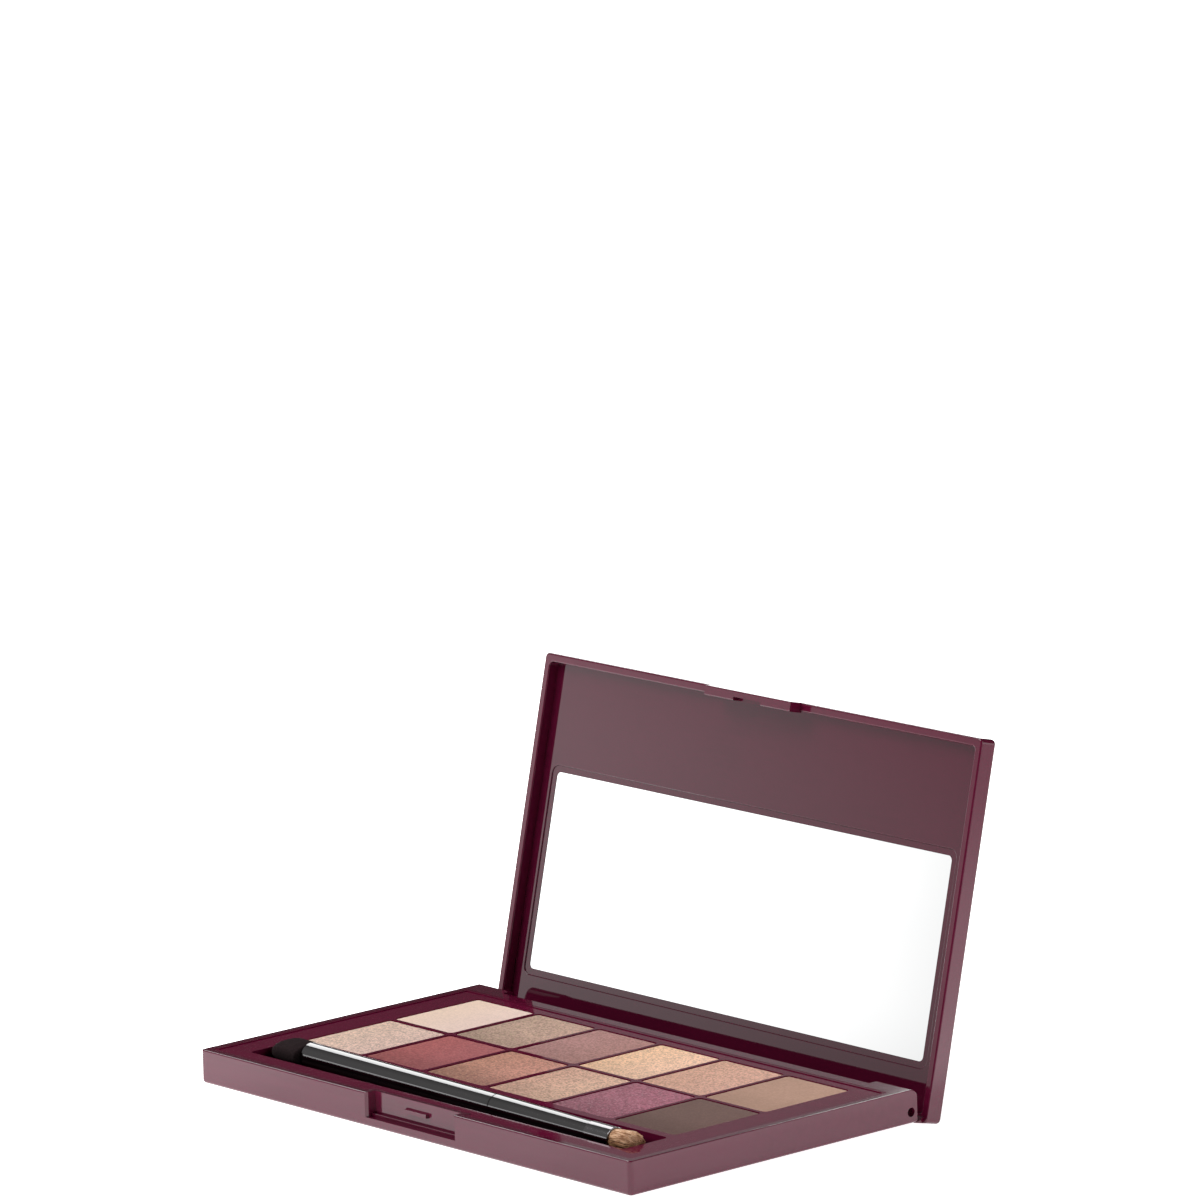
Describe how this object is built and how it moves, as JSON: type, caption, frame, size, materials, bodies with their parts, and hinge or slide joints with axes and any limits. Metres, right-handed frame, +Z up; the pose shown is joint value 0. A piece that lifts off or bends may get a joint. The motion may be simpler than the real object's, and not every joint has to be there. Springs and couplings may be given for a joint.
{
  "type": "eyeshadow palette",
  "caption": "Shallow rectangular makeup palette: hinged mirror lid with a latch tab, tray of pressed powder pans, and a loose double-ended brush in a trough.",
  "frame": {"origin": "middle of the base's flat underside", "axes": "+X to the user's right along the hinge, +Y from the latch edge to the hinge, +Z up out of the base"},
  "size_m": [0.15, 0.1159, 0.0887],
  "materials": {
    "case_plastic": "glossy burgundy moulding",
    "tray_plastic": "glossy burgundy moulding",
    "insert_plastic": "glossy burgundy moulding",
    "adhesive": "clear adhesive",
    "pin_steel": "drawn wire",
    "pan_tin": "pressed tin",
    "mirror": "silvered glass",
    "handle_plastic": "glossy black lacquer",
    "ferrule_metal": "black enamelled metal",
    "bristle_hair": "natural hair",
    "stem_plastic": "moulded plastic",
    "sponge_foam": "soft black foam",
    "powder_front_1": "pressed powder",
    "powder_front_2": "pressed powder",
    "powder_front_3": "pressed powder",
    "powder_front_4": "pressed powder",
    "powder_front_5": "pressed powder",
    "powder_front_6": "pressed powder",
    "powder_rear_1": "pressed powder",
    "powder_rear_2": "pressed powder",
    "powder_rear_3": "pressed powder",
    "powder_rear_4": "pressed powder",
    "powder_rear_5": "pressed powder",
    "powder_rear_6": "pressed powder"
  },
  "bodies": {
    "base": {"base_shell": "case_plastic", "base_tray": "tray_plastic", "pan_glue_spots": "adhesive", "hinge_pin_left": "pin_steel", "hinge_pin_right": "pin_steel", "pan_front_1": "pan_tin", "shadow_front_1": "powder_front_1", "pan_front_2": "pan_tin", "shadow_front_2": "powder_front_2", "pan_front_3": "pan_tin", "shadow_front_3": "powder_front_3", "pan_front_4": "pan_tin", "shadow_front_4": "powder_front_4", "pan_front_5": "pan_tin", "shadow_front_5": "powder_front_5", "pan_front_6": "pan_tin", "shadow_front_6": "powder_front_6", "pan_rear_1": "pan_tin", "shadow_rear_1": "powder_rear_1", "pan_rear_2": "pan_tin", "shadow_rear_2": "powder_rear_2", "pan_rear_3": "pan_tin", "shadow_rear_3": "powder_rear_3", "pan_rear_4": "pan_tin", "shadow_rear_4": "powder_rear_4", "pan_rear_5": "pan_tin", "shadow_rear_5": "powder_rear_5", "pan_rear_6": "pan_tin", "shadow_rear_6": "powder_rear_6"},
    "lid": {"lid_shell": "case_plastic", "lid_insert": "insert_plastic", "mirror": "mirror", "mirror_tape": "adhesive"},
    "brush": {"handle_long": "handle_plastic", "handle_short": "handle_plastic", "brush_ferrule": "ferrule_metal", "brush_bristles": "bristle_hair", "applicator_stem": "stem_plastic", "sponge_tip": "sponge_foam"}
  },
  "joints": [
    {"name": "lid_hinge", "type": "hinge", "parent": "base", "child": "lid", "pos_m": [0, 0.0423, 0.00277], "axis": [1, 0, 0], "range_deg": [0, 102.9]},
    {"name": "brush_lift", "type": "slide", "parent": "base", "child": "brush", "axis": [0, 0, 1], "range_m": [0, 0.06]}
  ]
}
